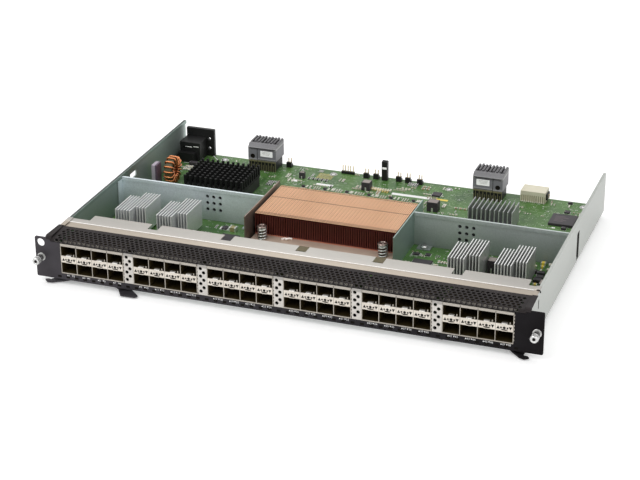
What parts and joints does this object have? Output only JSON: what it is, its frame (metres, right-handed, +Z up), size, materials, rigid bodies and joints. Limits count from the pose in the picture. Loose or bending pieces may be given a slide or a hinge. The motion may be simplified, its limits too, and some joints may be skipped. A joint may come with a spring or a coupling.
{
  "type": "switch line card",
  "caption": "Plug-in network line card: open sheet tray with a green board, rows of pluggable port cages, a copper heat sink, ear thumbscrews and ejector levers.",
  "frame": {"origin": "on the front plane, midway between the ends, at the height of the tray's underside", "axes": "+X to the right along the front, +Y from the front face to the backplane, +Z up"},
  "size_m": [0.4376, 0.3005, 0.0429],
  "materials": {
    "zinc_steel": "zinc-plated sheet, satin",
    "bare_steel": "bright bare sheet, satin",
    "black_coat": "fine textured powder coat",
    "cage_nickel": "nickel-plated spring sheet",
    "board_mask": "green solder mask, semi-gloss",
    "copper": "bare copper sheet, satin",
    "fin_aluminium": "bare extruded aluminium",
    "black_anodised": "black anodised",
    "black_plastic": "moulded black plastic",
    "grey_plastic": "moulded grey plastic",
    "ivory_plastic": "moulded ivory plastic",
    "chip_black": "moulded chip package",
    "ferrite": "coated ferrite",
    "enamelled_wire": "enamelled copper wire",
    "film_box": "moulded component box",
    "screw_nickel": "nickel-plated turned steel",
    "spring_steel": "spring wire",
    "contact_gold": "gold-plated contact"
  },
  "bodies": {
    "card": {"chassis_tray": "zinc_steel", "front_bezel": "black_coat", "top_grille": "black_coat", "port_shroud": "bare_steel", "port_cage_1": "cage_nickel", "port_cage_2": "cage_nickel", "port_cage_3": "cage_nickel", "port_cage_4": "cage_nickel", "port_cage_5": "cage_nickel", "port_cage_6": "cage_nickel", "port_connectors": "black_plastic", "vent_strips": "bare_steel", "main_board": "board_mask", "board_standoffs": "zinc_steel", "board_screws": "screw_nickel", "left_partition": "zinc_steel", "right_partition": "zinc_steel", "foot_screws": "screw_nickel", "left_air_guide": "zinc_steel", "right_air_guide": "zinc_steel", "heatsink_base": "copper", "heatsink_fins": "copper", "heatsink_screws": "screw_nickel", "heatsink_springs": "spring_steel", "switch_chip": "chip_black", "port_heatsink_1": "fin_aluminium", "port_heatsink_2": "fin_aluminium", "port_heatsink_3": "fin_aluminium", "port_heatsink_4": "fin_aluminium", "processor_heatsink": "fin_aluminium", "heatsink_push_pins": "black_plastic", "cooled_chips": "chip_black", "power_module": "black_plastic", "pin_fin_heatsink": "black_anodised", "choke_core": "ferrite", "choke_winding": "enamelled_wire", "filter_capacitor": "film_box", "power_connector": "black_plastic", "left_backplane_connector": "grey_plastic", "right_backplane_connector": "grey_plastic", "backplane_wafers": "black_plastic", "signal_connector": "ivory_plastic", "header_bases": "black_plastic", "header_pins": "contact_gold", "debug_connector": "black_plastic", "memory_chip": "chip_black", "inductors": "chip_black", "small_packages": "chip_black", "left_screw_ferrule": "screw_nickel", "left_screw_spring": "spring_steel", "right_screw_ferrule": "screw_nickel", "right_screw_spring": "spring_steel", "ejector_pivots": "screw_nickel"},
    "left_washer_carrier": {"left_spring_washer": "spring_steel"},
    "right_washer_carrier": {"right_spring_washer": "spring_steel"},
    "left_screw": {"left_thumbscrew": "screw_nickel"},
    "right_screw": {"right_thumbscrew": "screw_nickel"},
    "left_lever": {"left_ejector_lever": "black_coat"},
    "right_lever": {"right_ejector_lever": "black_coat"}
  },
  "joints": [
    {"name": "left_screw_push", "type": "slide", "parent": "card", "child": "left_washer_carrier", "axis": [0, 1, 0], "range_m": [0, 0.004], "stiffness_N_per_m": 250, "springref_m": -0.003, "deforming": ["left_screw_spring"]},
    {"name": "left_screw_turn", "type": "hinge", "parent": "left_washer_carrier", "child": "left_screw", "pos_m": [-0.2135, 0, 0.0183], "axis": [0, 1, 0], "continuous": true},
    {"name": "right_screw_push", "type": "slide", "parent": "card", "child": "right_washer_carrier", "axis": [0, 1, 0], "range_m": [0, 0.004], "stiffness_N_per_m": 250, "springref_m": -0.003, "deforming": ["right_screw_spring"]},
    {"name": "right_screw_turn", "type": "hinge", "parent": "right_washer_carrier", "child": "right_screw", "pos_m": [0.2135, 0, 0.0183], "axis": [0, 1, 0], "continuous": true},
    {"name": "left_lever_swing", "type": "hinge", "parent": "card", "child": "left_lever", "pos_m": [-0.197, 0.013, -0.00295], "axis": [0, 0, -1], "range_deg": [-12, 48]},
    {"name": "right_lever_swing", "type": "hinge", "parent": "card", "child": "right_lever", "pos_m": [0.197, 0.013, -0.00295], "axis": [0, 0, 1], "range_deg": [0, 60]}
  ]
}
